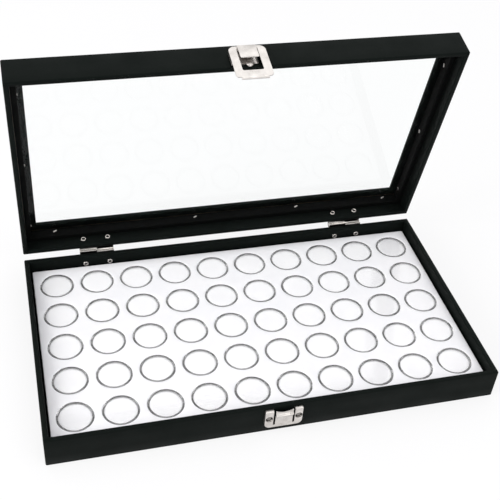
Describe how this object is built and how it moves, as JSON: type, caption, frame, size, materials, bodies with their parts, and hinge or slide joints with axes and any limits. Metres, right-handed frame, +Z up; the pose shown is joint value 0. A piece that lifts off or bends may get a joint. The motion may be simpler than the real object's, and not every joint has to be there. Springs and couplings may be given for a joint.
{
  "type": "jewelry display case",
  "caption": "Flat hinged display case with a glass window in its lid, a sprung front latch, and a white foam insert that holds rows of round clear jars.",
  "frame": {"origin": "middle of the underside of the case", "axes": "+X to the right along the length, +Y from the latch to the hinges, +Z up"},
  "size_m": [0.3746, 0.2427, 0.2461],
  "materials": {
    "leatherette": "satin",
    "board": "matte",
    "felt": "matte",
    "card": "matte",
    "black_strip": "satin",
    "glass": "polished",
    "nickel": "polished",
    "foam": "matte",
    "clear_plastic": "polished",
    "jar": "gloss",
    "pad": "matte"
  },
  "bodies": {
    "base": {"base_front_wall": "board", "base_back_wall": "board", "base_left_wall": "board", "base_right_wall": "board", "base_bottom_board": "board", "base_underside_felt": "felt", "base_leatherette_cover": "leatherette", "left_hinge_base_leaf": "nickel", "right_hinge_base_leaf": "nickel", "hinge_pins": "nickel", "hinge_base_rivets": "nickel", "latch_catch_plate": "nickel", "catch_plate_rivets": "nickel"},
    "lid": {"lid_front_wall": "board", "lid_top_front_rail": "board", "glass_front_strip": "black_strip", "lid_back_wall": "board", "lid_top_back_rail": "board", "glass_back_strip": "black_strip", "lid_left_wall": "board", "lid_top_left_rail": "board", "glass_left_strip": "black_strip", "lid_right_wall": "board", "lid_top_right_rail": "board", "glass_right_strip": "black_strip", "lid_leatherette_cover": "leatherette", "glass_pane": "glass", "retainer_brads": "nickel", "left_hinge_lid_leaf": "nickel", "right_hinge_lid_leaf": "nickel", "hinge_lid_rivets": "nickel", "latch_strap": "nickel", "latch_strap_rivet": "nickel"},
    "latch_ring": {"latch_ring": "nickel"},
    "insert": {"foam_insert": "foam", "insert_backing_card": "card"},
    "row_1": {"jars_row_1": "jar"},
    "row_2": {"jars_row_2": "jar"},
    "row_3": {"jars_row_3": "jar"},
    "row_4": {"jars_row_4": "jar"},
    "row_5": {"jars_row_5": "jar"},
    "sample_jar": {"sample_jar_cup": "clear_plastic", "sample_jar_pad": "pad"},
    "sample_cap": {"sample_jar_cap": "clear_plastic"}
  },
  "joints": [
    {"name": "lid_hinge", "type": "hinge", "parent": "base", "child": "lid", "pos_m": [0, 0.10787, 0.02895], "axis": [-1, 0, 0], "range_deg": [-77.4, 102.6]},
    {"name": "latch_ring_swing", "type": "hinge", "parent": "lid", "child": "latch_ring", "pos_m": [0, 0.07898, 0.24326], "axis": [-1, 0, 0], "range_deg": [0, 170]},
    {"name": "insert_lift", "type": "slide", "parent": "base", "child": "insert", "axis": [0, 0, 1], "range_m": [0, 0.045]},
    {"name": "row_1_lift", "type": "slide", "parent": "insert", "child": "row_1", "axis": [0, 0, 1], "range_m": [0, 0.03]},
    {"name": "row_2_lift", "type": "slide", "parent": "insert", "child": "row_2", "axis": [0, 0, 1], "range_m": [0, 0.03]},
    {"name": "row_3_lift", "type": "slide", "parent": "insert", "child": "row_3", "axis": [0, 0, 1], "range_m": [0, 0.03]},
    {"name": "row_4_lift", "type": "slide", "parent": "insert", "child": "row_4", "axis": [0, 0, 1], "range_m": [0, 0.03]},
    {"name": "row_5_lift", "type": "slide", "parent": "insert", "child": "row_5", "axis": [0, 0, 1], "range_m": [0, 0.03]},
    {"name": "sample_jar_lift", "type": "slide", "parent": "insert", "child": "sample_jar", "axis": [0, 0, 1], "range_m": [0, 0.03]},
    {"name": "sample_cap_lift", "type": "slide", "parent": "sample_jar", "child": "sample_cap", "axis": [0, 0, 1], "range_m": [0, 0.015]}
  ]
}
